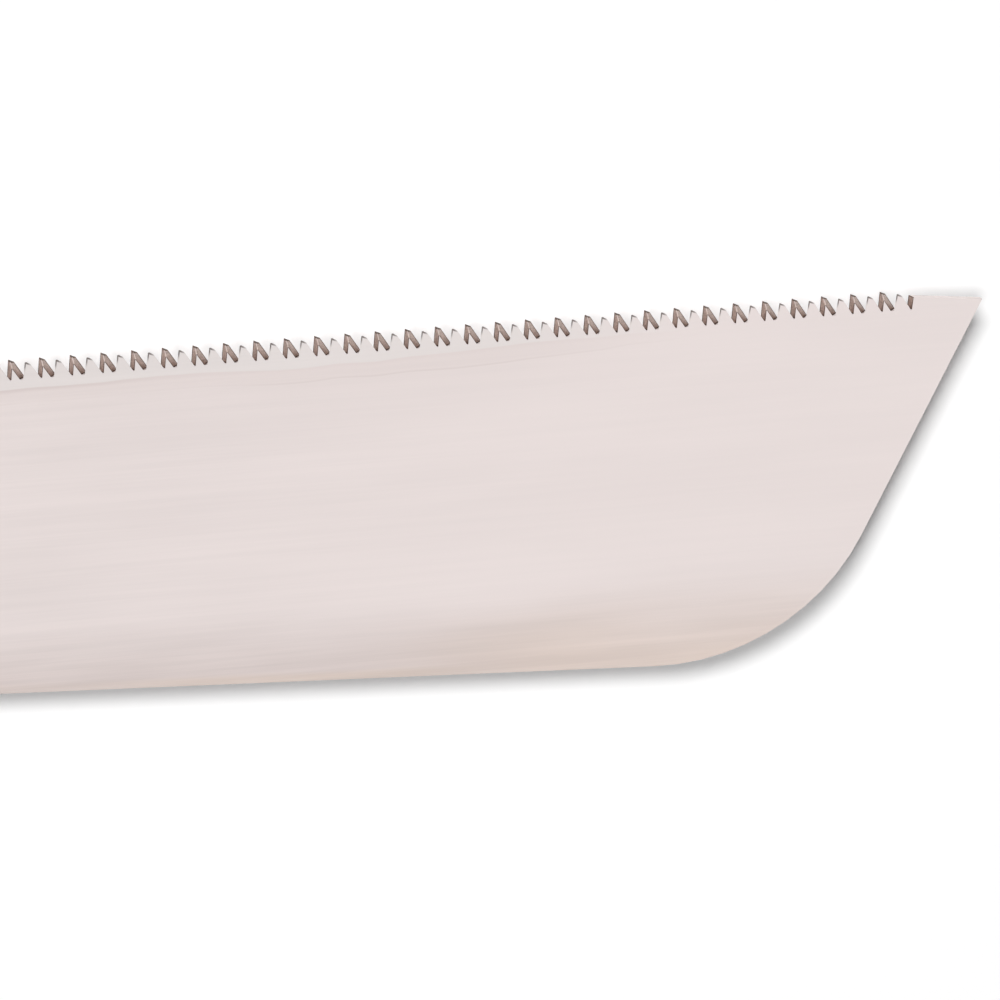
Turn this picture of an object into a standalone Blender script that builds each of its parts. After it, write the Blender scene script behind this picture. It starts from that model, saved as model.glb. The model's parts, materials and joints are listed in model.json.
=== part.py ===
"""Folding pull saw, open, lying on its right side.

Metres. +X runs from the pivot to the blade's tip, +Y to the teeth, +Z from the right side to the left.
Every piece is laid out round the pivot axis, and one empty then centres the saw on the origin.
"""

import math

import bmesh
import bpy

# Blade plate
BLADE_THICKNESS = 0.0007
BLADE_TAPER = 2.95  # degrees between the tooth line and the back
TANG_RADIUS = 0.0161
HEEL_LENGTH = 0.028
TIP_LENGTH = 0.0085  # plain edge past the last tooth
TIP_STEP = 0.0006  # plain edge below the tooth points
TIP_SLOPE = 6.2  # degrees
END_ANGLE = 64.7  # degrees between the slanted end and the tooth line
END_RADIUS = 0.0252

# Teeth: ground with a front, a back and a top facet, bevelled and set to either side in turn
TOOTH_COUNT = 136
TOOTH_PITCH = 0.0017
TOOTH_RAKE = 6.0  # degrees
TOOTH_BACK = 58.0  # degrees
TOOTH_TOP = 25.0  # degrees
TOOTH_TOP_RUN = 0.00061
TOOTH_TOP_BEVEL = 8.0  # degrees
TOOTH_FRONT_FLEAM = 30.0  # degrees
TOOTH_BACK_FLEAM = 41.5  # degrees
TOOTH_SET = 0.0002
GULLET_FLAT = 0.00025

# Lock
FOLD_ANGLE = 179.0  # degrees from open to folded
NOTCH_DEPTH = 0.0032
NOTCH_WIDTH = 0.0032
NOTCH_LEAN = 28.0  # degrees, front wall of the notch
NOSE_CLEARANCE = 0.00025
LIFT_CLEARANCE = 0.0006
LEVER_PIN_REACH = 0.0075  # behind the tang
LEVER_PIN_DROP = 0.006
LEVER_PIN_RADIUS = 0.002
LEVER_EYE_WALL = 0.0017
LEVER_BAR = 0.0036
LEVER_TOE = 0.0028
PAD_LENGTH = 0.018
PAD_WIDTH = 0.010
PAD_HEIGHT = 0.0022
PAD_RIDGES = 5
PAD_RIDGE_HEIGHT = 0.0005
PAD_CLEARANCE = 0.0006
SPRING_THICKNESS = 0.0005
SPRING_LENGTH = 0.040
SPRING_GRIP = 0.010

# Pivot
BOLT_RADIUS = 0.003
BOLT_HEAD_RADIUS = 0.0075
BOLT_HEAD_HEIGHT = 0.0026
BOLT_SLOT_WIDTH = 0.0014
BOLT_SLOT_DEPTH = 0.0012
NUT_ACROSS_FLATS = 0.010
NUT_HEIGHT = 0.0026
BUSH_WALL = 0.002
THRUST_WASHER_THICKNESS = 0.0005
THRUST_WASHER_MARGIN = 0.001
SPRING_WASHER_RADIUS = 0.0075
SPRING_WASHER_THICKNESS = 0.0006
SPRING_WASHER_DISH = 0.0004
STOP_PIN_FORWARD = 0.013
STOP_PIN_RADIUS = 0.002

# Handle
LINER_THICKNESS = 0.0012
BOLSTER_THICKNESS = 0.0035
BOLSTER_EDGE = 0.0012
SCALE_THICKNESS = 0.008
SCALE_EDGE = 0.005
SCALE_CHAMFER = 0.003
HEAD_MARGIN = 0.004
SLOT_CLEARANCE = 0.0015
SPINE_WALL = 0.009
TIP_CLEARANCE = 0.003
BUTT_WALL = 0.022
BUTT_DROP = 0.0015
GROOVE_BACK = 0.044
GROOVE_HEIGHT = 0.0095
SWELL_BACK = 0.135
SWELL_HEIGHT = 0.014
WAIST_AHEAD = 0.066
WAIST_HEIGHT = 0.0075
HOOK_AHEAD = 0.022
HOOK_HEIGHT = 0.019
BUTT_HEIGHT = 0.008
RELIEF_RUN = 0.006
RELIEF_MARGIN = 0.005

# Fasteners of the handle
SPINE_RIVET_RADIUS = 0.0015
SPINE_RIVET_FRONT = 0.095
SCALE_RIVET_RADIUS = 0.0024
SCALE_RIVET_HEAD_RADIUS = 0.0045
SCALE_RIVET_HEAD_HEIGHT = 0.0016
SCALE_RIVET_FRONT = 0.054
SCALE_RIVET_REAR_AHEAD = 0.052
SCALE_RIVET_LINE = -0.007
RIVETS_IN_LINE = ("front", "middle", "rear")
LANYARD_BORE = 0.0035
LANYARD_WALL = 0.001
LANYARD_AHEAD = 0.012
LANYARD_LINE = -0.010

# Fits
LAY_GAP = 0.0001  # between pieces that lie on each other
RUN_GAP = 0.0001  # between faces that turn on each other
PIN_GAP = 0.0001  # round a pin in its hole
SEAT_GAP = 0.00015  # between a moving edge and its stop
ARC_TOLERANCE = 0.00004
ROUND_STEPS = 24
EDGE_STEPS = 4

# Heights of the stack, counted outwards from the middle of the blade
HALF_BLADE = BLADE_THICKNESS / 2
WASHER_INNER = HALF_BLADE + RUN_GAP
WASHER_OUTER = WASHER_INNER + THRUST_WASHER_THICKNESS
HALF_SLOT = WASHER_OUTER + RUN_GAP
LINER_OUTER = HALF_SLOT + LINER_THICKNESS
COVER_INNER = LINER_OUTER + LAY_GAP
BOLSTER_OUTER = COVER_INNER + BOLSTER_THICKNESS
SCALE_OUTER = COVER_INNER + SCALE_THICKNESS
SIDES = {"left": 1, "right": -1}


def tan(degrees):
    return math.tan(math.radians(degrees))


def turned_point(point, degrees, centre=(0.0, 0.0)):
    angle = math.radians(degrees)
    x, y = point[0] - centre[0], point[1] - centre[1]
    return (
        centre[0] + x * math.cos(angle) - y * math.sin(angle),
        centre[1] + x * math.sin(angle) + y * math.cos(angle),
    )


def arc(centre, radius, start, end):
    """Points on an arc, angles in degrees, close enough together for the tolerance."""
    step = 2 * math.degrees(math.acos(1 - ARC_TOLERANCE / radius))
    count = max(1, math.ceil(abs(end - start) / step))
    return [
        turned_point((centre[0] + radius, centre[1]), start + (end - start) * i / count, centre)
        for i in range(count + 1)
    ]


def circle(centre, radius):
    return [
        turned_point((centre[0] + radius, centre[1]), 360 * i / ROUND_STEPS, centre)
        for i in range(ROUND_STEPS)
    ]


def rounded(corners):
    """Closed outline through corners (x, y, radius), each corner a tangent arc."""
    outline = []
    for i, (x, y, radius) in enumerate(corners):
        if not radius:
            outline.append((x, y))
            continue
        before, after = corners[i - 1], corners[(i + 1) % len(corners)]
        heading_in = math.degrees(math.atan2(y - before[1], x - before[0]))
        heading_out = math.degrees(math.atan2(after[1] - y, after[0] - x))
        turn = (heading_out - heading_in + 180) % 360 - 180
        tangent = radius * tan(abs(turn) / 2)
        left = math.copysign(1, turn)
        start = turned_point((x - tangent, y), heading_in, (x, y))
        centre = turned_point((start[0], start[1] + left * radius), heading_in, start)
        first = heading_in - left * 90
        outline += arc(centre, radius, first, first + turn)
    return outline


# Teeth, along the tooth line (u) and out from it (v), with v = 0 at the points
FRONT_SHIFT = BLADE_THICKNESS * tan(TOOTH_FRONT_FLEAM)
BACK_SHIFT = BLADE_THICKNESS * tan(TOOTH_BACK_FLEAM)
FLEAM_SHIFT = (FRONT_SHIFT + BACK_SHIFT) / 2
TOOTH_RUN = tan(TOOTH_RAKE) + 1 / tan(TOOTH_BACK)
TOOTH_HEIGHT = (
    TOOTH_PITCH + FLEAM_SHIFT - GULLET_FLAT
    - TOOTH_TOP_RUN * (1 - tan(TOOTH_TOP) / tan(TOOTH_BACK))
) / TOOTH_RUN
INNER_HEIGHT = (TOOTH_PITCH - FLEAM_SHIFT - GULLET_FLAT) / TOOTH_RUN


def on_blade(u, v):
    """A point of the tooth line's own frame, turned so that the blade's middle lies along +X."""
    return turned_point((u, v + TANG_RADIUS), BLADE_TAPER / 2)


def gullet(index):
    return HEEL_LENGTH + index * TOOTH_PITCH


def gullet_slant(index):
    """The wheel crosses the plate at the fleam angles, from one side and then from the other."""
    return 1 if (TOOTH_COUNT - index) % 2 == 0 else -1


def gullet_foot(index, side, edge):
    """Foot of a flank on one face: edge -1 is the back of the tooth before, 1 the front of the next."""
    shift = FRONT_SHIFT if edge > 0 else BACK_SHIFT
    return gullet(index) + edge * GULLET_FLAT / 2 + side * gullet_slant(index) * shift / 2


TIP_CORNER = (gullet(TOOTH_COUNT) + TIP_LENGTH, -TIP_STEP - TIP_LENGTH * tan(TIP_SLOPE))
TIP_REACH = math.hypot(*on_blade(*TIP_CORNER))


def blade_back():
    """The plain outline from the tip corner round the back and the tang to the heel."""
    back_foot = turned_point((0, -TANG_RADIUS), -BLADE_TAPER / 2)
    tip = on_blade(*TIP_CORNER)
    end_heading = 180 + END_ANGLE + BLADE_TAPER / 2
    back_heading = 180 - BLADE_TAPER / 2
    # where the slanted end would meet the back
    end_run = math.cos(math.radians(end_heading)), math.sin(math.radians(end_heading))
    back_run = math.cos(math.radians(-BLADE_TAPER / 2)), math.sin(math.radians(-BLADE_TAPER / 2))
    across = end_run[0] * back_run[1] - end_run[1] * back_run[0]
    gap = back_foot[0] - tip[0], back_foot[1] - tip[1]
    along = (gap[0] * back_run[1] - gap[1] * back_run[0]) / across
    corner = tip[0] + along * end_run[0], tip[1] + along * end_run[1]
    tangent = END_RADIUS * tan((end_heading - back_heading) / 2)
    start = corner[0] - tangent * end_run[0], corner[1] - tangent * end_run[1]
    centre = turned_point((start[0], start[1] - END_RADIUS), end_heading, start)
    sweep = arc(centre, END_RADIUS, end_heading + 90, back_heading + 90)
    tang = arc((0, 0), TANG_RADIUS, -90 - BLADE_TAPER / 2, -270 + BLADE_TAPER / 2)
    return [tip] + sweep + tang


def notch_outline(clearance, outside):
    """The notch of the open blade under the pivot, or the nose that fits it with a clearance."""
    floor = -(TANG_RADIUS - NOTCH_DEPTH) - clearance
    rear = -NOTCH_WIDTH / 2 - NOSE_CLEARANCE + clearance
    front = NOTCH_WIDTH / 2 - NOSE_CLEARANCE - clearance / math.cos(math.radians(NOTCH_LEAN))
    return [
        (rear, outside),
        (front + (floor - outside) * tan(NOTCH_LEAN), outside),
        (front, floor),
        (rear, floor),
    ]


# Handle, laid out from what it holds: the folded blade, the tang and the lever
HEAD_RADIUS = TANG_RADIUS + HEAD_MARGIN
LEVER_PIN_BACK = TANG_RADIUS + LEVER_PIN_REACH
LEVER_PIN = (-LEVER_PIN_BACK, -TANG_RADIUS - LEVER_PIN_DROP)
LEVER_EYE = LEVER_PIN_RADIUS + LEVER_EYE_WALL
LEVER_TRAVEL = math.degrees(
    math.asin((NOTCH_DEPTH + LIFT_CLEARANCE) / (LEVER_PIN_BACK - NOTCH_WIDTH / 2))
)
BOLSTER_BACK = LEVER_PIN_BACK + LEVER_EYE + RELIEF_MARGIN
RELIEF_FRONT = BOLSTER_BACK + RELIEF_MARGIN
RELIEF_FLOOR = RELIEF_FRONT + RELIEF_RUN
RELIEF_END = RELIEF_FLOOR + PAD_LENGTH + 2 * PAD_CLEARANCE
SPACER_FRONT = RELIEF_END + RELIEF_RUN + RELIEF_MARGIN
SLOT_END = TIP_REACH + TIP_CLEARANCE
BUTT = SLOT_END + BUTT_WALL


def slot_floor(back):
    """Height of the slot's floor at a distance behind the pivot, parallel to the folded teeth."""
    heading = FOLD_ANGLE + BLADE_TAPER / 2 - 180
    return -TANG_RADIUS / math.cos(math.radians(heading)) - back * tan(heading) - SLOT_CLEARANCE


def spine(back):
    return slot_floor(back) - SPINE_WALL


PAD_FLOOR = spine(RELIEF_FLOOR) + PAD_HEIGHT + PAD_RIDGE_HEIGHT + PAD_CLEARANCE
PAD_INNER = PAD_FLOOR - PAD_CLEARANCE
SPRING_LINE = PAD_INNER + LEVER_BAR + SEAT_GAP


def handle_outline():
    return rounded([
        (HEAD_RADIUS, HEAD_RADIUS, 0.017),
        (-LEVER_PIN_BACK, HEAD_RADIUS, 0.016),
        (-GROOVE_BACK, GROOVE_HEIGHT, 0.040),
        (-SWELL_BACK, SWELL_HEIGHT, 0.160),
        (-BUTT + WAIST_AHEAD, WAIST_HEIGHT, 0.110),
        (-BUTT + HOOK_AHEAD, HOOK_HEIGHT, 0.014),
        (-BUTT, BUTT_HEIGHT, 0.012),
        (-BUTT, spine(BUTT) - BUTT_DROP, 0.016),
        (-RELIEF_END - RELIEF_RUN, spine(RELIEF_END), 0.008),
        (-RELIEF_END, PAD_FLOOR, 0.006),
        (-RELIEF_FLOOR, PAD_FLOOR, 0.006),
        (-RELIEF_FRONT, spine(RELIEF_FRONT), 0.008),
        (HEAD_RADIUS, spine(0), 0.020),
    ])


def rivet_places(front, rear):
    """Distances behind the pivot of evenly spaced rivets."""
    step = (rear - front) / (len(RIVETS_IN_LINE) - 1)
    return [front + i * step for i in range(len(RIVETS_IN_LINE))]


SPINE_RIVETS = [
    (-back, slot_floor(back) - SPINE_WALL / 2)
    for back in rivet_places(SPINE_RIVET_FRONT, SLOT_END - WAIST_AHEAD / 2)
]
SCALE_RIVETS = [
    (-back, SCALE_RIVET_LINE)
    for back in rivet_places(SCALE_RIVET_FRONT, SLOT_END - SCALE_RIVET_REAR_AHEAD)
]
LANYARD = (-BUTT + LANYARD_AHEAD, LANYARD_LINE)
STOP_PIN = (
    STOP_PIN_FORWARD,
    -(TANG_RADIUS + SEAT_GAP + STOP_PIN_RADIUS) / math.cos(math.radians(BLADE_TAPER / 2))
    - STOP_PIN_FORWARD * tan(BLADE_TAPER / 2),
)


def clear_scene():
    for thing in list(bpy.data.objects):
        bpy.data.objects.remove(thing, do_unlink=True)


def finish(name, colour, roughness, metallic):
    material = bpy.data.materials.new(name)
    material.use_nodes = True
    shader = material.node_tree.nodes["Principled BSDF"]
    shader.inputs["Base Color"].default_value = (*colour, 1)
    shader.inputs["Roughness"].default_value = roughness
    shader.inputs["Metallic"].default_value = metallic
    return material


def add_piece(name, mesh, material, place=(0, 0), smooth=False):
    """One named object on the saw's frame, its origin at a place in plan at the blade's height."""
    bmesh.ops.remove_doubles(mesh, verts=mesh.verts[:], dist=1e-7)
    bmesh.ops.recalc_face_normals(mesh, faces=mesh.faces[:])
    data = bpy.data.meshes.new(name)
    mesh.to_mesh(data)
    mesh.free()
    piece = bpy.data.objects.new(name, data)
    bpy.context.scene.collection.objects.link(piece)
    piece.location = (*place, 0)
    piece.parent = frame
    if material:
        data.materials.append(material.copy())
    if smooth:
        data.shade_smooth()
        data.set_sharp_from_angle(angle=math.radians(35))
    return piece


def prism(outlines, low, high):
    """A mesh of one or more outlines, each filled and extruded between two heights."""
    mesh = bmesh.new()
    for outline in outlines:
        face = mesh.faces.new([mesh.verts.new((x, y, low)) for x, y in outline])
        grown = bmesh.ops.extrude_face_region(mesh, geom=[face])
        raised = [part for part in grown["geom"] if isinstance(part, bmesh.types.BMVert)]
        bmesh.ops.translate(mesh, vec=(0, 0, high - low), verts=raised)
    return mesh


def lathe(profile, closed=False):
    """A mesh turned round Z from a profile of (radius, height)."""
    mesh = bmesh.new()
    points = [mesh.verts.new((radius, 0, height)) for radius, height in profile]
    ends = points[1:] + points[:1] if closed else points[1:]
    edges = [mesh.edges.new(pair) for pair in zip(points, ends)]
    bmesh.ops.spin(
        mesh, geom=points + edges, cent=(0, 0, 0), axis=(0, 0, 1),
        angle=math.tau, steps=ROUND_STEPS, use_merge=True,
    )
    bmesh.ops.remove_doubles(mesh, verts=mesh.verts[:], dist=1e-7)
    return mesh


def ring(inner, outer, low, high):
    return lathe([(outer, high), (outer, low), (inner, low), (inner, high)], closed=True)


def boolean(piece, name, mesh, operation="DIFFERENCE"):
    """Combines a piece with a helper that isn't itself a part of the saw."""
    helper = add_piece(f"{piece.name}_{name}", mesh, None)
    helper.hide_render = True
    helper.display_type = "WIRE"
    modifier = piece.modifiers.new(name, "BOOLEAN")
    modifier.operation = operation
    modifier.solver = "EXACT"
    modifier.object = helper


def drill(piece, holes, low, high):
    """Round holes (place, radius) between two heights."""
    boolean(piece, "drill", prism([circle(place, radius) for place, radius in holes], low, high))


def round_rim(mesh, height, radius):
    """Rounds the outer rim of a prism at one height."""
    rim = [e for e in mesh.edges if all(abs(v.co.z - height) < 1e-6 for v in e.verts)]
    bmesh.ops.bevel(
        mesh, geom=rim, offset=radius, segments=EDGE_STEPS, profile=0.5,
        affect="EDGES", clamp_overlap=False,
    )


def slice_off(mesh, place, normal):
    """Cuts a mesh by a plane, drops what lies on the normal's side and closes the cut."""
    everything = mesh.verts[:] + mesh.edges[:] + mesh.faces[:]
    cut = bmesh.ops.bisect_plane(
        mesh, geom=everything, dist=1e-7, plane_co=place, plane_no=normal, clear_outer=True,
    )
    edges = [part for part in cut["geom_cut"] if isinstance(part, bmesh.types.BMEdge)]
    bmesh.ops.edgeloop_fill(mesh, edges=edges)


def tooth_points(index):
    """Corners of one tooth as (u, v, z): the point, its facet, the inner corner and the ridge."""
    outer = -gullet_slant(index)

    def bent(u, height, depth):
        """Height above the gullet, and depth into the plate from the outer face, with the set."""
        lean = TOOTH_SET * height / TOOTH_HEIGHT
        return u, height - TOOTH_HEIGHT, outer * (HALF_BLADE - depth + lean)

    front_foot = gullet_foot(index, outer, 1)
    point_u = front_foot + TOOTH_HEIGHT * tan(TOOTH_RAKE)
    facet_height = TOOTH_HEIGHT - TOOTH_TOP_RUN * tan(TOOTH_TOP)
    inner_u = gullet_foot(index, -outer, 1) + INNER_HEIGHT * tan(TOOTH_RAKE)
    # the ridge climbs from the inner face to where both flanks would meet on the outer one
    full_height = (TOOTH_PITCH + FLEAM_SHIFT - GULLET_FLAT) / TOOTH_RUN
    full_u = front_foot + full_height * tan(TOOTH_RAKE)
    drop = TOOTH_HEIGHT - (inner_u - point_u) * tan(TOOTH_TOP) - BLADE_THICKNESS * tan(TOOTH_TOP_BEVEL)
    climb = (drop - INNER_HEIGHT) / (
        full_height - INNER_HEIGHT
        - (inner_u - full_u) * tan(TOOTH_TOP) - BLADE_THICKNESS * tan(TOOTH_TOP_BEVEL)
    )
    ridge_height = INNER_HEIGHT + climb * (full_height - INNER_HEIGHT)
    return {
        "outer": outer,
        "point": bent(point_u, TOOTH_HEIGHT, 0),
        "facet": bent(point_u + TOOTH_TOP_RUN, facet_height, 0),
        "inner": bent(inner_u, INNER_HEIGHT, BLADE_THICKNESS),
        "ridge": bent(inner_u + climb * (full_u - inner_u), ridge_height, BLADE_THICKNESS * (1 - climb)),
    }


def blade_mesh():
    """The plate with its teeth. Both faces share their plain outline and differ along the teeth."""
    mesh = bmesh.new()

    def vertex(u, v, z):
        return mesh.verts.new((*on_blade(u, v), z))

    def foot(index, side, edge):
        return vertex(gullet_foot(index, side, edge), -TOOTH_HEIGHT, side * HALF_BLADE)

    gullets = range(TOOTH_COUNT + 1)
    before = {side: [foot(i, side, -1) for i in gullets] for side in (1, -1)}
    after = {side: [foot(i, side, 1) for i in gullets] for side in (1, -1)}
    heel, blank, plain = {}, {}, {}
    for side in (1, -1):
        z = side * HALF_BLADE
        heel_u = gullet_foot(0, side, -1) - TOOTH_HEIGHT / tan(TOOTH_BACK)
        heel[side] = vertex(heel_u, 0, z)
        blank_u = gullet_foot(TOOTH_COUNT, side, 1) + (TOOTH_HEIGHT - TIP_STEP) * tan(TOOTH_RAKE)
        blank[side] = vertex(blank_u, -TIP_STEP, z)
        plain[side] = [mesh.verts.new((x, y, z)) for x, y in blade_back()]

    for i in gullets:
        mesh.faces.new([before[1][i], after[1][i], after[-1][i], before[-1][i]])
    for i in range(TOOTH_COUNT):
        corners = tooth_points(i)
        o = corners["outer"]
        point, facet, inner, ridge = (vertex(*corners[k]) for k in ("point", "facet", "inner", "ridge"))
        front, back = after[o][i], before[o][i + 1]
        inner_front, inner_back = after[-o][i], before[-o][i + 1]
        mesh.faces.new([front, point, ridge, inner, inner_front])
        mesh.faces.new([facet, back, inner_back, inner, ridge])
        mesh.faces.new([point, facet, ridge])
        mesh.faces.new([front, point, facet, back])
        mesh.faces.new([inner_front, inner, inner_back])
    for side in (1, -1):
        rim = [heel[side]]
        for i in gullets:
            rim += [before[side][i], after[side][i]]
        mesh.faces.new(rim + [blank[side]] + plain[side])
    edge = {s: [after[s][-1], blank[s]] + plain[s] + [heel[s], before[s][0]] for s in (1, -1)}
    for i in range(len(edge[1]) - 1):
        mesh.faces.new([edge[1][i], edge[1][i + 1], edge[-1][i + 1], edge[-1][i]])
    return mesh


def make_blade():
    blade = add_piece("blade", blade_mesh(), steel)
    drill(blade, [((0, 0), BOLT_RADIUS + BUSH_WALL + 2 * PIN_GAP)], -HALF_SLOT, HALF_SLOT)
    outside = -TANG_RADIUS - NOTCH_DEPTH
    open_notch = notch_outline(0, outside)
    closed_notch = [turned_point(p, -FOLD_ANGLE) for p in open_notch]
    boolean(blade, "notches", prism([open_notch, closed_notch], -HALF_SLOT, HALF_SLOT))


def make_pivot():
    bolt_reach = BOLSTER_OUTER + SPRING_WASHER_THICKNESS + SPRING_WASHER_DISH + NUT_HEIGHT + 2 * LAY_GAP
    head_top = -BOLSTER_OUTER - LAY_GAP
    head_low = head_top - BOLT_HEAD_HEIGHT
    edge = BOLT_SLOT_DEPTH / 2
    bolt = add_piece("pivot_bolt", lathe([
        (0, bolt_reach), (BOLT_RADIUS, bolt_reach), (BOLT_RADIUS, head_top), (BOLT_HEAD_RADIUS, head_top),
        (BOLT_HEAD_RADIUS, head_low + edge), (BOLT_HEAD_RADIUS - edge, head_low), (0, head_low),
    ]), steel, smooth=True)
    half = BOLT_SLOT_WIDTH / 2
    slot = [(-HEAD_RADIUS, -half), (HEAD_RADIUS, -half), (HEAD_RADIUS, half), (-HEAD_RADIUS, half)]
    boolean(bolt, "slot", prism([slot], head_low - BOLT_SLOT_DEPTH, head_low + BOLT_SLOT_DEPTH))

    bush_inner = BOLT_RADIUS + PIN_GAP
    bush_outer = BOLT_RADIUS + BUSH_WALL
    bush_height = HALF_SLOT - LAY_GAP
    add_piece("pivot_bush", ring(bush_inner, bush_outer, -bush_height, bush_height), bronze, smooth=True)
    for name, side in SIDES.items():
        washer = ring(
            bush_outer + PIN_GAP, TANG_RADIUS - NOTCH_DEPTH - THRUST_WASHER_MARGIN,
            *sorted((side * WASHER_INNER, side * WASHER_OUTER)),
        )
        add_piece(f"{name}_thrust_washer", washer, bronze, smooth=True)

    seat = BOLSTER_OUTER + LAY_GAP
    add_piece("spring_washer", lathe([
        (bush_inner, seat + SPRING_WASHER_DISH + SPRING_WASHER_THICKNESS),
        (SPRING_WASHER_RADIUS, seat + SPRING_WASHER_THICKNESS),
        (SPRING_WASHER_RADIUS, seat),
        (bush_inner, seat + SPRING_WASHER_DISH),
    ], closed=True), steel, smooth=True)

    nut_low = seat + SPRING_WASHER_DISH + SPRING_WASHER_THICKNESS + LAY_GAP
    corner = NUT_ACROSS_FLATS / 2 / math.cos(math.radians(30))
    hexagon = [turned_point((corner, 0), 60 * i) for i in range(6)]
    nut = add_piece("pivot_nut", prism([hexagon], nut_low, nut_low + NUT_HEIGHT), brass)
    cone = corner - NUT_ACROSS_FLATS / 2
    boolean(nut, "chamfer", lathe([
        (0, nut_low + NUT_HEIGHT + LAY_GAP), (NUT_ACROSS_FLATS / 2, nut_low + NUT_HEIGHT + LAY_GAP),
        (corner + cone, nut_low + NUT_HEIGHT - cone),
        (corner + cone, nut_low - LAY_GAP), (0, nut_low - LAY_GAP),
    ]), "INTERSECT")
    drill(nut, [((0, 0), bush_inner)], 0, SCALE_OUTER)


def make_pin(name, place, radius, half_length):
    edge = radius / 4
    mesh = lathe([
        (0, half_length), (radius - edge, half_length), (radius, half_length - edge),
        (radius, edge - half_length), (radius - edge, -half_length), (0, -half_length),
    ])
    add_piece(name, mesh, steel, place, smooth=True)


def make_lever():
    """Rocker plate in the slot with a wide thumb pad, stored pressed so that its nose clears the tang."""
    def released(point):
        return turned_point(point, -LEVER_TRAVEL, LEVER_PIN)

    x, y = LEVER_PIN
    root = y + LEVER_EYE
    rear_root, front_root, front_tip, rear_tip = map(released, notch_outline(NOSE_CLEARANCE, root))
    front_foot = notch_outline(NOSE_CLEARANCE, root)[1]
    toe = released((front_foot[0], front_foot[1] - LEVER_TOE))
    pad_front, pad_end = -RELIEF_FLOOR - PAD_CLEARANCE, -RELIEF_END + PAD_CLEARANCE
    pad_core = PAD_INNER - PAD_HEIGHT / 2
    tail = PAD_INNER + LEVER_BAR
    outline = rounded([
        (*front_tip, 0.0004), (*rear_tip, 0.0004), (*rear_root, 0.001),
        (x + LEVER_EYE, root, 0.002), (x - LEVER_EYE, root, 0.002),
        (x - 2 * LEVER_EYE, tail, 0.002), (pad_end + PAD_HEIGHT, tail, 0.001),
        (pad_end + PAD_HEIGHT, pad_core, 0), (pad_front, pad_core, 0),
        (x - LEVER_EYE, y - LEVER_EYE, 0.003), (x + LEVER_EYE, y - LEVER_EYE, 0.003),
        (*toe, 0.0012), (*front_root, 0.0012),
    ])
    about_pin = [(px - x, py - y) for px, py in outline]
    half = HALF_SLOT - 2 * RUN_GAP
    lever = add_piece("lock_lever", prism([about_pin], -half, half), steel, LEVER_PIN)

    step = (pad_front - pad_end) / (2 * PAD_RIDGES + 1)
    crest = PAD_INNER - PAD_HEIGHT
    ridged = [(pad_front, PAD_INNER), (pad_end, PAD_INNER)]
    for i in range(PAD_RIDGES + 1):
        start = pad_end + 2 * i * step
        ridged += [(start, crest), (start + step, crest)]
        if i < PAD_RIDGES:
            low = crest - PAD_RIDGE_HEIGHT
            ridged += [(start + step, low), (start + 2 * step, low)]
    boolean(lever, "pad", prism([ridged], -PAD_WIDTH / 2, PAD_WIDTH / 2), "UNION")
    drill(lever, [(LEVER_PIN, LEVER_PIN_RADIUS + PIN_GAP)], -HALF_SLOT, HALF_SLOT)


def make_spring():
    """Leaf gripped in a slit of the spacer, lying along the inner edge of the pressed lever's tail."""
    rear = -SPACER_FRONT - SPRING_GRIP
    leaf = [
        (rear, SPRING_LINE), (rear + SPRING_LENGTH, SPRING_LINE),
        (rear + SPRING_LENGTH, SPRING_LINE + SPRING_THICKNESS), (rear, SPRING_LINE + SPRING_THICKNESS),
    ]
    half = HALF_SLOT - 2 * RUN_GAP
    add_piece("lever_spring", prism([leaf], -half, half), steel)


def make_spacer():
    """The bar between the liners: the handle's outline less the slot, the lever's room and the slit."""
    thickness = HALF_SLOT - LAY_GAP
    spacer = add_piece("spine_spacer", prism([handle_outline()], -thickness, thickness), steel)
    ahead_of = SPACER_FRONT - RELIEF_MARGIN
    bend = 180 + math.degrees(math.atan2(-slot_floor(SLOT_END), SLOT_END))
    rear = arc((0, 0), SLOT_END, bend, 180 - math.degrees(math.asin(HOOK_HEIGHT / SLOT_END)) - 2)
    above = HOOK_HEIGHT + HEAD_RADIUS
    room = [(-ahead_of, slot_floor(ahead_of))] + rear + [(-ahead_of, above)]
    ahead = [
        (-SPACER_FRONT, above + LAY_GAP), (-SPACER_FRONT, -above - SPINE_WALL),
        (2 * HEAD_RADIUS, -above - SPINE_WALL), (2 * HEAD_RADIUS, above + LAY_GAP),
    ]
    cut = HALF_SLOT + LAY_GAP
    boolean(spacer, "slot", prism([room], -cut, cut))
    boolean(spacer, "lever_room", prism([ahead], -cut, cut))
    low, high = SPRING_LINE - SEAT_GAP, SPRING_LINE + SPRING_THICKNESS + SEAT_GAP
    end = -SPACER_FRONT - SPRING_GRIP - SEAT_GAP
    slit = [(end, low), (-RELIEF_END, low), (-RELIEF_END, high), (end, high)]
    boolean(spacer, "slit", prism([slit], -cut, cut))
    holes = [(place, SPINE_RIVET_RADIUS + PIN_GAP) for place in SPINE_RIVETS]
    drill(spacer, holes + [(LANYARD, LANYARD_BORE + LANYARD_WALL + PIN_GAP)], -cut, cut)


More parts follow.
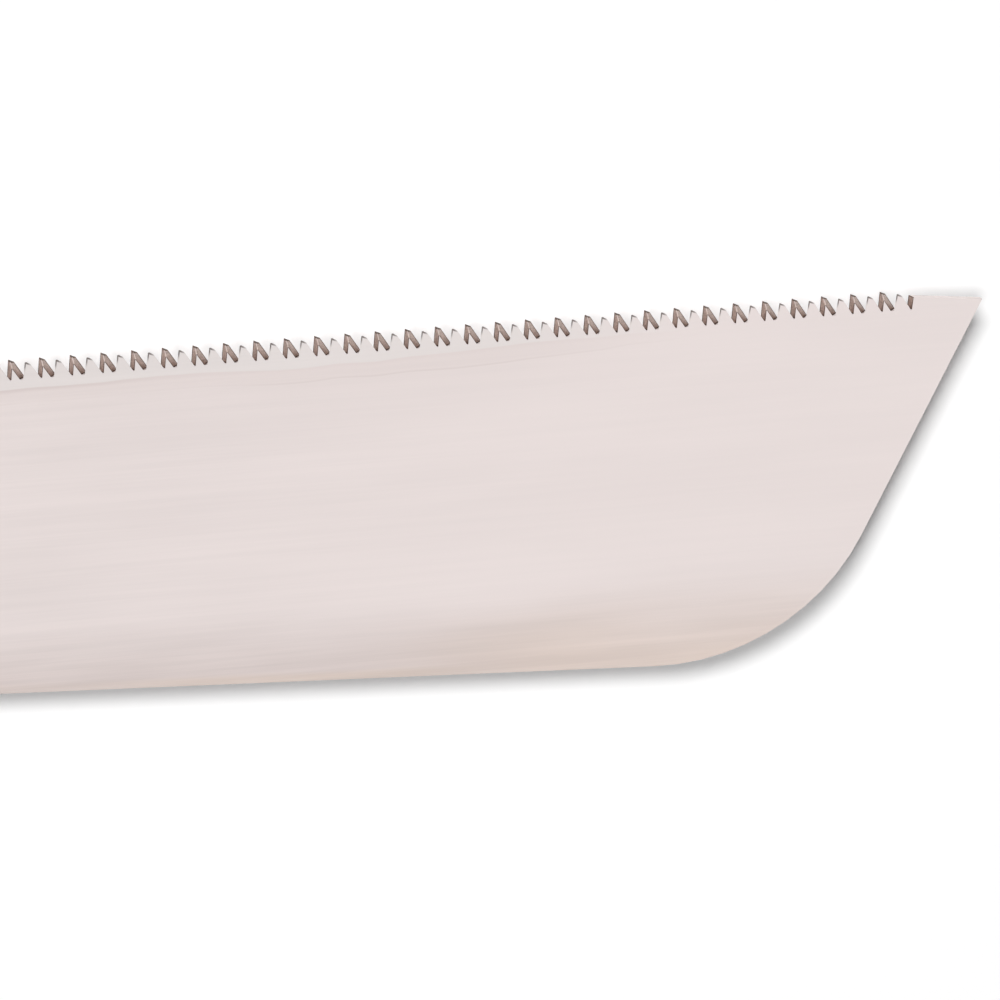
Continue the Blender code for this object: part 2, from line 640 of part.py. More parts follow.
def make_side(name, side):
    """Liner, bolster and scale of one side, with the rivets that hold the scale."""
    def span(inner, outer):
        return sorted((side * inner, side * outer))

    outline = handle_outline()
    liner = add_piece(f"{name}_liner", prism([outline], *span(HALF_SLOT, LINER_OUTER)), liner_steel)
    bolster_holes = [
        ((0, 0), BOLT_RADIUS + PIN_GAP),
        (LEVER_PIN, LEVER_PIN_RADIUS + PIN_GAP),
        (STOP_PIN, STOP_PIN_RADIUS + PIN_GAP),
    ]
    lanyard_hole = [(LANYARD, LANYARD_BORE + LANYARD_WALL + PIN_GAP)]
    rivet_holes = [(place, SCALE_RIVET_RADIUS + PIN_GAP) for place in SCALE_RIVETS]
    spine_holes = [(place, SPINE_RIVET_RADIUS + PIN_GAP) for place in SPINE_RIVETS]
    through = span(0, SCALE_OUTER + LAY_GAP)
    drill(liner, bolster_holes + lanyard_hole + rivet_holes + spine_holes, *through)

    bolster_mesh = prism([outline], *span(COVER_INNER, BOLSTER_OUTER))
    round_rim(bolster_mesh, side * BOLSTER_OUTER, BOLSTER_EDGE)
    slice_off(bolster_mesh, (-BOLSTER_BACK, 0, 0), (-1, 0, 0))
    bolster = add_piece(f"{name}_bolster", bolster_mesh, steel, smooth=True)
    drill(bolster, bolster_holes, *through)

    scale_mesh = prism([outline], *span(COVER_INNER, SCALE_OUTER))
    round_rim(scale_mesh, side * SCALE_OUTER, SCALE_EDGE)
    scale_front = -BOLSTER_BACK - LAY_GAP
    slice_off(scale_mesh, (scale_front, 0, 0), (1, 0, 0))
    slice_off(scale_mesh, (scale_front, 0, side * (SCALE_OUTER - SCALE_CHAMFER)), (1, 0, side))
    scale = add_piece(f"{name}_scale", scale_mesh, wood, smooth=True)
    drill(scale, lanyard_hole + rivet_holes, *through)
    head_low = SCALE_OUTER - SCALE_RIVET_HEAD_HEIGHT
    sinks = [circle(place, SCALE_RIVET_HEAD_RADIUS + PIN_GAP) for place in SCALE_RIVETS]
    boolean(scale, "sinks", prism(sinks, *span(head_low - LAY_GAP, SCALE_OUTER + LAY_GAP)))

    flush = SCALE_OUTER - LAY_GAP
    edge = SCALE_RIVET_HEAD_HEIGHT / 4
    for place, where in zip(SCALE_RIVETS, RIVETS_IN_LINE):
        rivet = lathe([
            (0, side * flush), (SCALE_RIVET_HEAD_RADIUS - edge, side * flush),
            (SCALE_RIVET_HEAD_RADIUS, side * (flush - edge)), (SCALE_RIVET_HEAD_RADIUS, side * head_low),
            (SCALE_RIVET_RADIUS, side * head_low), (SCALE_RIVET_RADIUS, side * HALF_SLOT),
            (0, side * HALF_SLOT),
        ])
        add_piece(f"{name}_scale_rivet_{where}", rivet, brass, place, smooth=True)


clear_scene()
steel = finish("satin_steel", (0.79, 0.72, 0.70), 0.32, 1)
liner_steel = finish("liner_steel", (0.55, 0.54, 0.53), 0.4, 1)
bronze = finish("bronze", (0.62, 0.40, 0.20), 0.4, 1)
brass = finish("brass", (0.80, 0.60, 0.28), 0.3, 1)
wood = finish("oiled_beech", (0.52, 0.29, 0.13), 0.5, 0)

# The empty that carries the saw: it lies on its right scale, centred on the origin
LAST_POINT = on_blade(*tooth_points(TOOTH_COUNT - 1)["point"][:2])
OUTLINE_X, OUTLINE_Y = zip(*handle_outline(), *blade_back(), LAST_POINT)
frame = bpy.data.objects.new("saw_frame", None)
bpy.context.scene.collection.objects.link(frame)
frame.location = (
    -(min(OUTLINE_X) + max(OUTLINE_X)) / 2,
    -(min(OUTLINE_Y) + max(OUTLINE_Y)) / 2,
    SCALE_OUTER,
)

make_blade()
make_pivot()
make_pin("stop_pin", STOP_PIN, STOP_PIN_RADIUS, BOLSTER_OUTER)
make_pin("lever_pin", LEVER_PIN, LEVER_PIN_RADIUS, BOLSTER_OUTER)
make_lever()
make_spring()
make_spacer()
for side_name, side_sign in SIDES.items():
    make_side(side_name, side_sign)
for rivet_place, rivet_where in zip(SPINE_RIVETS, RIVETS_IN_LINE):
    make_pin(f"spine_rivet_{rivet_where}", rivet_place, SPINE_RIVET_RADIUS, LINER_OUTER)
add_piece(
    "lanyard_tube",
    ring(LANYARD_BORE, LANYARD_BORE + LANYARD_WALL, LAY_GAP - SCALE_OUTER, SCALE_OUTER - LAY_GAP),
    brass, LANYARD, smooth=True,
)
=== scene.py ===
import json
import math

import bmesh
import bpy
from mathutils import Matrix, Vector


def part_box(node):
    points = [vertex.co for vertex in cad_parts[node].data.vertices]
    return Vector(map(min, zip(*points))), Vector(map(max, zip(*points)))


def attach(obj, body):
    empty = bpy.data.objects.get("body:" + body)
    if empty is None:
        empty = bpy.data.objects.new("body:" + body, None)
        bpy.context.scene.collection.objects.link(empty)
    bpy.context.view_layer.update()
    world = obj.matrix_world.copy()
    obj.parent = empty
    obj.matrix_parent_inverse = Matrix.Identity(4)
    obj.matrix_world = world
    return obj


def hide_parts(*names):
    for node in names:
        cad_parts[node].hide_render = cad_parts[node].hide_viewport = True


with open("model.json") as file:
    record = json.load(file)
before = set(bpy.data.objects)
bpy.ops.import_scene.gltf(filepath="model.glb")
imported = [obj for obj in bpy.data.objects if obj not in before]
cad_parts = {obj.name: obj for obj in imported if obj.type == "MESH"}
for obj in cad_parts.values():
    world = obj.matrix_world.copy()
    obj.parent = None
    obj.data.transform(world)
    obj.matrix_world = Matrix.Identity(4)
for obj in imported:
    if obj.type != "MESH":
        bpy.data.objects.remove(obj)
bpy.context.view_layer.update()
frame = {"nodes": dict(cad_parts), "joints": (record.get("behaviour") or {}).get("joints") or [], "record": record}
nodes = frame["nodes"]
bodies = frame["record"]["behaviour"]["bodies"]
joints = {joint["name"]: joint for joint in frame["joints"]}
pivot = Vector(joints["blade_fold"]["pos_m"])
scene = bpy.context.scene
print("saw loaded:", len(nodes), "solids")

# the blade's own directions: along the tooth points from the pivot, and out past them
bladeLie = {"tilt": 1.475, "pointLine": 0.0161, "backTaper": 2.95, "toothHeight": 0.0020952}
bladeTurn = Matrix.Rotation(math.radians(bladeLie["tilt"]), 4, "Z")


def onBlade(along, out):
    return pivot + bladeTurn @ Vector((along, out + bladeLie["pointLine"], 0))


# camera, worked out from the spacing of the teeth in the picture
camera = {
    "along": 0.212196, "out": -0.021612, "distance": 0.635,
    "towardsHandle": 11.398, "overTeeth": 25.0, "lens": 202.69, "sensor": 36, "nearest": 0.01,
}


def placeCamera():
    cam = bpy.data.objects.new("photoCamera", bpy.data.cameras.new("photoCamera"))
    scene.collection.objects.link(cam)
    cam.data.sensor_width = camera["sensor"]
    cam.data.lens = camera["lens"]
    cam.data.clip_start = camera["nearest"]
    lean = [math.tan(math.radians(camera[key])) for key in ("towardsHandle", "overTeeth")]
    back = (bladeTurn @ Vector((-lean[0], lean[1], 1))).normalized()
    right = (-back).cross(bladeTurn @ Vector((0, 1, 0))).normalized()
    turned = Matrix((right, back.cross(right), back)).transposed()
    place = onBlade(camera["along"], camera["out"]) + back * camera["distance"]
    cam.matrix_world = Matrix.Translation(place) @ turned.to_4x4()
    scene.camera = cam


placeCamera()
print("camera placed")


# small node helpers shared by the studio and the finishes
def shaderNodes(owner):
    owner.use_nodes = True
    tree = owner.node_tree
    return tree, tree.nodes, tree.links


def finish(name, colour, roughness, metallic):
    material = bpy.data.materials.new(name)
    tree, parts, links = shaderNodes(material)
    shader = parts["Principled BSDF"]
    shader.inputs["Base Color"].default_value = (*colour, 1)
    shader.inputs["Roughness"].default_value = roughness
    shader.inputs["Metallic"].default_value = metallic
    return material, tree, shader


def add(tree, kind, **settings):
    node = tree.nodes.new("ShaderNode" + kind)
    for key, value in settings.items():
        setattr(node, key, value)
    return node


def put(tree, value, socket):
    if hasattr(value, "is_output"):
        tree.links.new(value, socket)
    else:
        socket.default_value = value


def maths(tree, operation, *values):
    node = add(tree, "Math", operation=operation)
    for value, socket in zip(values, node.inputs):
        put(tree, value, socket)
    return node.outputs[0]


def times(tree, a, b):
    return maths(tree, "MULTIPLY", a, b)


def plus(tree, a, b):
    return maths(tree, "ADD", a, b)


def minus(tree, a, b):
    return maths(tree, "SUBTRACT", a, b)


def ranged(tree, value, low, high, start=0.0, end=1.0, smooth=True):
    node = add(tree, "MapRange", interpolation_type="SMOOTHSTEP" if smooth else "LINEAR")
    put(tree, value, node.inputs["Value"])
    for socket, number in zip(("From Min", "From Max", "To Min", "To Max"), (low, high, start, end)):
        put(tree, number, node.inputs[socket])
    return node.outputs[0]


def mixed(tree, factor, a, b, blend="MIX"):
    node = add(tree, "Mix", data_type="RGBA", blend_type=blend)
    put(tree, factor, node.inputs["Factor"])
    put(tree, a if hasattr(a, "is_output") else (*a, 1), node.inputs["A"])
    put(tree, b if hasattr(b, "is_output") else (*b, 1), node.inputs["B"])
    return node.outputs["Result"]


def placed(tree, scale=(1, 1, 1), turn=0.0, shift=(0, 0, 0)):
    coords = add(tree, "TexCoord")
    mapping = add(tree, "Mapping")
    mapping.inputs["Scale"].default_value = scale
    mapping.inputs["Rotation"].default_value = (0, 0, math.radians(turn))
    mapping.inputs["Location"].default_value = shift
    tree.links.new(coords.outputs["Object"], mapping.inputs["Vector"])
    return mapping.outputs[0]


def grain(tree, vector, detail=3.0, rough=0.5, distortion=0.0):
    node = add(tree, "TexNoise")
    tree.links.new(vector, node.inputs["Vector"])
    node.inputs["Scale"].default_value = 1.0
    node.inputs["Detail"].default_value = detail
    node.inputs["Roughness"].default_value = rough
    node.inputs["Distortion"].default_value = distortion
    return node.outputs["Fac"]


def bumped(tree, shader, height, distance, strength):
    node = add(tree, "Bump")
    node.inputs["Distance"].default_value = distance
    node.inputs["Strength"].default_value = strength
    tree.links.new(height, node.inputs["Height"])
    tree.links.new(node.outputs[0], shader.inputs["Normal"])


# studio: white paper floor, two soft lamps over the teeth side, and a room that is brighter on that side
studio = {
    "skyLow": 0.012, "skyHigh": 0.035, "skySpread": (-0.1, 0.9), "litSide": (-1.86, 3.36, 6.0),
    "whiteCard": (0.2, -0.47, 1.0), "cardSpread": (0.15, 0.8), "dimRoom": 0.68, "cardLevel": 1.05,
    "glowSpread": (0.82, 0.99), "keyGlow": 0.5,
    "keyLamp": {"from": (-2.05, 3.83, 6.0), "size": 1.35, "power": 413},
    "fillLamp": {"from": (-1.86, 2.08, 6.0), "size": 1.2, "power": 190},
    "aimAlong": 0.1, "aimOut": -0.02, "floorHalf": 4.0, "floorDrop": 0.0002, "floorLift": 0.002,
}


def lightRoom():
    scene.world = bpy.data.worlds.new("studio")
    tree, parts, links = shaderNodes(scene.world)
    path = add(tree, "LightPath").outputs
    ways = add(tree, "TexCoord").outputs["Generated"]

    def towards(direction, spread, dim, bright):
        facing = add(tree, "VectorMath", operation="DOT_PRODUCT")
        links.new(ways, facing.inputs[0])
        facing.inputs[1].default_value = Vector(direction).normalized()
        return ranged(tree, facing.outputs["Value"], *spread, dim, bright)

    room = towards(studio["litSide"], studio["skySpread"], studio["skyLow"], studio["skyHigh"])
    card = towards(studio["whiteCard"], studio["cardSpread"], studio["dimRoom"], studio["cardLevel"])
    glow = towards(studio["litSide"], studio["glowSpread"], 0.0, studio["keyGlow"])
    mirrored = plus(tree, card, glow)  # what metal shows
    level = ranged(tree, path["Is Glossy Ray"], 0, 1, room, mirrored, smooth=False)
    seen = maths(tree, "MAXIMUM", path["Is Camera Ray"], path["Is Transmission Ray"])
    strength = ranged(tree, seen, 0, 1, level, 1.0, smooth=False)
    links.new(strength, parts["Background"].inputs["Strength"])
    parts["Background"].inputs["Color"].default_value = (1, 1, 1, 1)


def hangLamp(name):
    values = studio[name]
    lamp = bpy.data.objects.new(name, bpy.data.lights.new(name, "AREA"))
    scene.collection.objects.link(lamp)
    lamp.data.shape = "DISK"
    lamp.data.size = values["size"]
    lamp.data.energy = values["power"]
    lamp.location = Vector(values["from"]) + onBlade(studio["aimAlong"], studio["aimOut"])
    lamp.rotation_euler = Vector(values["from"]).to_track_quat("Z", "Y").to_euler()
    lamp.visible_glossy = False  # polished steel mirrors the room and the card, not the bare lamps


def layFloor():
    half = studio["floorHalf"]
    mesh = bpy.data.meshes.new("floor")
    corners = [(-half, -half, 0), (half, -half, 0), (half, half, 0), (-half, half, 0)]
    mesh.from_pydata(corners, [], [(0, 1, 2, 3)])
    floor = bpy.data.objects.new("floor", mesh)
    floor.location.z = -studio["floorDrop"]
    scene.collection.objects.link(floor)
    paper = bpy.data.materials.new("whitePaper")
    tree, parts, links = shaderNodes(paper)
    parts.remove(parts["Principled BSDF"])
    matt = add(tree, "BsdfDiffuse")
    matt.inputs["Color"].default_value = (1, 1, 1, 1)
    lift = add(tree, "Emission")  # a trace of white, for the camera alone
    seen = add(tree, "LightPath").outputs["Is Camera Ray"]
    links.new(times(tree, seen, studio["floorLift"]), lift.inputs["Strength"])
    both = add(tree, "AddShader")
    links.new(matt.outputs[0], both.inputs[0])
    links.new(lift.outputs[0], both.inputs[1])
    links.new(both.outputs[0], parts["Material Output"].inputs["Surface"])
    mesh.materials.append(paper)


lightRoom()
hangLamp("keyLamp")
hangLamp("fillLamp")
layFloor()
scene.view_settings.view_transform = "Standard"
print("studio lit")


# rolled blade plate; spans run along the blade from the pivot, reaches run across it, in metres
plate = {
    "face": (0.795, 0.716, 0.700), "strip": (0.765, 0.710, 0.695), "line": (0.670, 0.585, 0.565),
    "stain": (0.690, 0.605, 0.583), "warm": (0.708, 0.597, 0.537), "rim": (0.655, 0.553, 0.498),
    "rough": 0.34, "smoother": 0.05, "rougher": 0.06, "bump": 0.00002, "bumpStrength": 0.12,
    # lengthwise polishing lines and streaks, stronger at the heel and along the back
    "lineGrain": (24, 1300), "lineSwing": (0.25, 0.75), "lineRough": (0.2, 0.8),
    "streakGrain": (18, 120), "streakSwing": (0.3, 0.7), "cloudGrain": (14, 40),
    "heelStreaks": 0.028, "tipStreaks": 0.012, "streakSpan": (0.150, 0.230), "backStreaks": 0.034,
    # painted shade: the plate coloured darker towards the heel
    "heelShade": 0.965, "shadeSpan": (0.145, 0.225),
    # painted reflection along the back, warm towards the tip, and a darker rim at the back edge
    "reflectionReach": 0.0115, "reflectionFull": -0.001, "reflectionPower": 1.35, "reflectionWander": 0.006,
    "widerReflection": 0.0022, "warmSpan": (0.190, 0.225), "warmPatches": (0.35, 0.7, 0.5, 1.0),
    "rimReach": (0.0014, 0.0005), "rimHeel": (0.162, 0.182, 0.35, 0.9), "rimTip": (0.213, 0.200),
    # paler strip by the teeth, and the shade and lines under it
    "driftGrain": (60, 0), "driftSwing": (0.3, 0.7), "drift": 0.00025,
    "stripReach": 0.0033, "stripEnd": 0.0024, "stripSpan": (0.196, 0.224), "stripEdge": 0.0002,
    "bandReach": 0.0049, "bandEnd": 0.0032, "bandSpan": (0.204, 0.238), "bandEdge": 0.0005, "bandLevel": 0.14,
    "broadReach": 0.0060, "broadLevel": 0.12, "fadeSpan": (0.240, 0.210),
    "thinEdge": 0.0005, "thinLevel": (0.160, 0.182, 0.50, 0.14),
    "hairBelow": 0.00014, "hairAbove": 0.00025, "hairPatches": (0.35, 0.65, 0.12, 0.45),
}


def bladeSpot(tree):
    turn = -bladeLie["tilt"]
    shift = -(Matrix.Rotation(math.radians(turn), 4, "Z") @ pivot)
    vector = placed(tree, turn=turn, shift=(shift.x, shift.y - bladeLie["pointLine"], shift.z))
    spot = add(tree, "SeparateXYZ")
    tree.links.new(vector, spot.inputs[0])
    return vector, spot.outputs["X"], spot.outputs["Y"]


def stretched(tree, vector, along, across):
    node = add(tree, "VectorMath", operation="MULTIPLY")
    tree.links.new(vector, node.inputs[0])
    node.inputs[1].default_value = (along, across, across)
    return node.outputs[0]


# painted reflection: a darker, warm band along the back of the plate, and a darker rim at its edge
def paintedBackReflection(tree, along, fromBack, streaks, clouds):
    wander = maths(tree, "MULTIPLY_ADD", streaks, plate["reflectionWander"], -plate["reflectionWander"] / 2)
    towardsTip = ranged(tree, along, *plate["warmSpan"])
    wider = minus(tree, wander, times(tree, towardsTip, plate["widerReflection"]))
    reflectionMask = ranged(tree, plus(tree, fromBack, wider), plate["reflectionReach"], plate["reflectionFull"])
    reflectionMask = maths(tree, "POWER", reflectionMask, plate["reflectionPower"])
    warm = times(tree, towardsTip, ranged(tree, clouds, *plate["warmPatches"]))
    colour = mixed(tree, warm, plate["stain"], plate["warm"])
    rim = times(tree, ranged(tree, fromBack, *plate["rimReach"]), ranged(tree, along, *plate["rimHeel"]))
    rim = times(tree, rim, ranged(tree, along, *plate["rimTip"]))
    return reflectionMask, mixed(tree, rim, colour, plate["rim"])


def paleToothStrip(tree, vector, along, out, clouds):
    drift = grain(tree, stretched(tree, vector, *plate["driftGrain"]), detail=2)
    depth = plus(tree, out, ranged(tree, drift, *plate["driftSwing"], -plate["drift"], plate["drift"]))
    first = ranged(tree, along, *plate["stripSpan"], -plate["stripReach"], -plate["stripEnd"])
    second = ranged(tree, along, *plate["bandSpan"], -plate["bandReach"], -plate["bandEnd"])
    strip = ranged(tree, depth, first, plus(tree, first, plate["stripEdge"]))
    fading = ranged(tree, along, *plate["fadeSpan"])
    lowest = -plate["stripReach"] - plate["broadReach"]
    broad = ranged(tree, depth, lowest, -plate["stripReach"], 0.0, plate["broadLevel"])
    band = ranged(tree, depth, second, plus(tree, second, plate["bandEdge"]), 0.0, plate["bandLevel"])
    thin = ranged(tree, depth, minus(tree, first, plate["thinEdge"]), first)
    thin = times(tree, thin, ranged(tree, along, *plate["thinLevel"]))
    hair = ranged(tree, depth, minus(tree, second, plate["hairBelow"]), second)
    hair = times(tree, hair, ranged(tree, depth, plus(tree, second, plate["hairAbove"]), second))
    hair = times(tree, hair, ranged(tree, clouds, *plate["hairPatches"]))
    under = plus(tree, plus(tree, broad, band), plus(tree, thin, hair))
    colour = mixed(tree, times(tree, under, fading), plate["face"], plate["line"])
    return mixed(tree, strip, colour, mixed(tree, fading, plate["face"], plate["strip"]))


# thin dark rims at the points of the teeth, on the plate's flat sides
tips = {
    "dark": (0.165, 0.140, 0.130), "strength": 0.95, "from": 0.25594, "pitch": 0.0017,
    "topSlope": 25.0, "capDepth": (-0.00023, -0.00009), "capLength": (0.00085, 0.00020),
    "rake": 6.0, "frontWidth": (0.00021, 0.00009), "frontStart": (-0.0003, -0.0002),
    "frontDepth": (-0.0013, -0.0004), "firstTooth": (0.0276, 0.0280), "lastTooth": (0.2596, 0.2590),
}


def tipTint(tree, along, out):
    half = tips["pitch"] / 2
    slope, rake = (math.tan(math.radians(tips[key])) for key in ("topSlope", "rake"))
    past = maths(tree, "WRAP", minus(tree, along, tips["from"]), half, -half)  # past the nearest point
    below = plus(tree, out, times(tree, past, slope))
    cap = times(tree, ranged(tree, below, *tips["capDepth"]), ranged(tree, past, *tips["capLength"]))
    inside = minus(tree, past, times(tree, out, rake))
    front = times(tree, ranged(tree, inside, *tips["frontWidth"]), ranged(tree, inside, *tips["frontStart"]))
    front = times(tree, front, ranged(tree, out, *tips["frontDepth"]))
    toothed = times(tree, ranged(tree, along, *tips["firstTooth"]), ranged(tree, along, *tips["lastTooth"]))
    return times(tree, maths(tree, "MAXIMUM", cap, front), times(tree, toothed, tips["strength"]))


def plateFinish():
    material, tree, shader = finish("bladePlate", plate["face"], plate["rough"], 1.0)
    vector, along, out = bladeSpot(tree)
    lines = grain(tree, stretched(tree, vector, *plate["lineGrain"]), detail=4, rough=0.65)
    streaks = grain(tree, stretched(tree, vector, *plate["streakGrain"]), detail=3, rough=0.6)
    clouds = grain(tree, stretched(tree, vector, *plate["cloudGrain"]), detail=2)
    taper = math.tan(math.radians(bladeLie["backTaper"]))
    rise = maths(tree, "MULTIPLY_ADD", along, taper, 2 * bladeLie["pointLine"])
    # painted reflection along the back, mixed into the plate colour; its mask also strengthens the streaks
    reflectionMask, stain = paintedBackReflection(tree, along, plus(tree, rise, out), streaks, clouds)
    colour = mixed(tree, reflectionMask, paleToothStrip(tree, vector, along, out, clouds), stain)
    swing = ranged(tree, along, *plate["streakSpan"], plate["heelStreaks"], plate["tipStreaks"])
    swing = plus(tree, swing, times(tree, reflectionMask, plate["backStreaks"]))
    fine = ranged(tree, lines, *plate["lineSwing"], -1, 1)
    shade = plus(tree, fine, ranged(tree, streaks, *plate["streakSwing"], -1, 1))
    shade = plus(tree, times(tree, shade, swing), 1.0)
    # painted shade: darker towards the heel
    shade = times(tree, shade, ranged(tree, along, *plate["shadeSpan"], plate["heelShade"], 1.0))
    grey = add(tree, "CombineColor")
    for channel in grey.inputs:
        tree.links.new(shade, channel)
    colour = mixed(tree, 1.0, colour, grey.outputs[0], "MULTIPLY")
    colour = mixed(tree, tipTint(tree, along, out), colour, tips["dark"])
    tree.links.new(colour, shader.inputs["Base Color"])
    smooth, coarse = plate["rough"] - plate["smoother"], plate["rough"] + plate["rougher"]
    tree.links.new(ranged(tree, lines, *plate["lineRough"], smooth, coarse), shader.inputs["Roughness"])
    bumped(tree, shader, lines, plate["bump"], plate["bumpStrength"])
    return material


# ground tooth bevels, darker than the plate partly for their rougher ground finish and partly as painted
# reflection of darker surroundings, with darker rims round each bevel
bevels = {
    # crest: painted highlight along the ridge where a tooth's two bevels meet
    "back": (0.575, 0.470, 0.424), "backRim": (0.150, 0.098, 0.080), "crest": (0.880, 0.770, 0.730),
    # front colours: painted light, the front bevels made lighter than the back ones of the same ground steel
    "front": (0.740, 0.588, 0.526), "frontRim": (0.220, 0.150, 0.125), "cap": (0.105, 0.082, 0.075),
    "gullet": (0.170, 0.115, 0.095), "edge": (0.830, 0.755, 0.735), "edgeWear": (0.640, 0.560, 0.540),
    "rough": 0.42, "bump": 0.00002, "bumpStrength": 0.3, "rimWidth": 0.00011,
    "foot": 0.25, "backFoot": 0.16, "footTop": 0.55,
    "markGrain": (900, 5200), "markLevel": (0.3, 0.75, 0.0, 0.35),
    # how a face of the blade is told apart: lean of its normal, depth under the points, place along the blade
    "flatLean": 0.97, "bevelLean": 0.12, "deepest": -0.0022,
    "capSpan": (0.027, 0.2596), "bevelSpan": (0.0275, 0.2599),
}


def groundFinish(name, colour, darker, foot="foot"):
    material, tree, shader = finish(name, bevels[colour], bevels["rough"], 1.0)
    vector, along, out = bladeSpot(tree)
    height = bladeLie["toothHeight"]
    low = ranged(tree, out, -height, -bevels["footTop"] * height, bevels[foot], 0.0)
    marks = grain(tree, stretched(tree, vector, *bevels["markGrain"]), detail=2)
    factor = plus(tree, low, ranged(tree, marks, *bevels["markLevel"]))
    tree.links.new(mixed(tree, factor, bevels[colour], bevels[darker]), shader.inputs["Base Color"])
    bumped(tree, shader, marks, bevels["bump"], bevels["bumpStrength"])
    return material


# copies of the solids: weld distance, and the angles under which faces join or shade as one
copies = {"weld": 2e-6, "flat": 0.4, "smooth": 32}


def cleanMesh(name):
    source = nodes[name].data
    mesh = bmesh.new()
    spots = [mesh.verts.new(v.co) for v in source.vertices]
    for face in source.polygons:
        mesh.faces.new([spots[i] for i in face.vertices])
    bmesh.ops.remove_doubles(mesh, verts=mesh.verts[:], dist=copies["weld"])
    flat = math.radians(copies["flat"])
    bmesh.ops.dissolve_limit(mesh, angle_limit=flat, verts=mesh.verts[:], edges=mesh.edges[:])
    return mesh


def madeFrom(mesh, name, node, materials):
    data = bpy.data.meshes.new(name)
    mesh.to_mesh(data)
    mesh.free()
    piece = bpy.data.objects.new(name, data)
    scene.collection.objects.link(piece)
    for material in materials:
        data.materials.append(material)
    data.shade_smooth()
    data.set_sharp_from_angle(angle=math.radians(copies["smooth"]))
    body = next(b for b, members in bodies.items() if node in members)
    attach(piece, body)
    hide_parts(node)
    return piece


def makeBlade():
    finishes = {
        "plate": plateFinish(),
        "back": groundFinish("backBevel", "back", "backRim", "backFoot"),
        "backRim": groundFinish("backBevelRim", "backRim", "gullet"),
        # painted light: the front bevels take lighter colours than the back bevels
        "front": groundFinish("frontBevel", "front", "frontRim"),
        "frontRim": groundFinish("frontBevelRim", "frontRim", "gullet"),
        "cap": groundFinish("toothCap", "cap", "backRim"),
        "edge": groundFinish("plateEdge", "edge", "edgeWear"),
        # painted highlight on the crest between a tooth's two bevels
        "crest": groundFinish("bevelCrestHighlight", "crest", "back"),
    }
    place = {name: i for i, name in enumerate(finishes)}
    mesh = cleanMesh("blade")
    mesh.normal_update()
    backTurn = bladeTurn.inverted()
    strokes = []
    for face in mesh.faces:
        spot = backTurn @ (face.calc_center_median() - pivot)
        normal = backTurn @ face.normal
        onTeeth = spot.y - bladeLie["pointLine"] > bevels["deepest"]
        capStart, capEnd = bevels["capSpan"]
        bevelStart, bevelEnd = bevels["bevelSpan"]
        if abs(normal.z) > bevels["flatLean"]:
            kind = "plate"
        elif onTeeth and capStart < spot.x < capEnd and len(face.verts) == 3:
            kind = "cap"
        elif onTeeth and bevelStart < spot.x < bevelEnd and abs(normal.z) > bevels["bevelLean"]:
            kind = "front" if normal.x < 0 else "back"
            strokes.append(face)
        else:
            kind = "edge"
        face.material_index = place[kind]
    rims = bmesh.ops.inset_individual(mesh, faces=strokes, thickness=bevels["rimWidth"], use_even_offset=True)
    for face in rims["faces"]:
        face.material_index += 1  # a bevel's rim comes next in the list
    pair = [place["backRim"], place["frontRim"]]
    highlightedCrests = [edge for edge in mesh.edges if sorted(face.material_index for face in edge.link_faces) == pair]
    for edge in highlightedCrests:  # painted highlight: the crest between a tooth's two bevels is coloured bright
        for face in edge.link_faces:
            face.material_index = place["crest"]
    blade = madeFrom(mesh, "sawBlade", "blade", finishes.values())
    print("blade: tooth bevels", len(strokes))


makeBlade()


# metals of the handle: fine lines left by the belt, a few darker scuffs
metals = {
    "satinSteel": {
        "colour": (0.585, 0.572, 0.558), "scuff": (0.400, 0.385, 0.370),
        "lines": (30, 2600, 400), "rough": 0.30,
    },
    "linerSteel": {
        "colour": (0.470, 0.462, 0.455), "scuff": (0.300, 0.290, 0.280),
        "lines": (1800, 60, 60), "rough": 0.38,
    },
    "turnedSteel": {
        "colour": (0.640, 0.628, 0.612), "scuff": (0.450, 0.430, 0.410),
        "lines": (900, 900, 200), "rough": 0.24,
    },
    "blueSpring": {
        "colour": (0.150, 0.165, 0.215), "scuff": (0.260, 0.200, 0.150),
        "lines": (60, 900, 900), "rough": 0.28,
    },
    "satinBrass": {
        "colour": (0.720, 0.500, 0.200), "scuff": (0.430, 0.270, 0.095),
        "lines": (700, 700, 300), "rough": 0.32,
    },
    "oiledBronze": {
        "colour": (0.520, 0.310, 0.145), "scuff": (0.310, 0.170, 0.080),
        "lines": (500, 500, 900), "rough": 0.36,
    },
    # painted shade for the floors and walls of the thumb pad's grooves
    "padGrooveShade": {
        "colour": (0.120, 0.112, 0.106), "scuff": (0.260, 0.245, 0.232),
        "lines": (300, 1500, 60), "rough": 0.46,
    },
}
metalWear = {
    "scuffGrain": (55, 120, 120), "scuffSpread": (0.52, 0.78), "scuffLevel": 0.55, "scuffRough": 0.2,
    "lineLevel": (0.35, 0.75, 0.0, 0.22), "lineRough": (0.3, 0.7), "smoother": 0.05, "rougher": 0.07,
    "bump": 0.00002, "bumpStrength": 0.2,
}


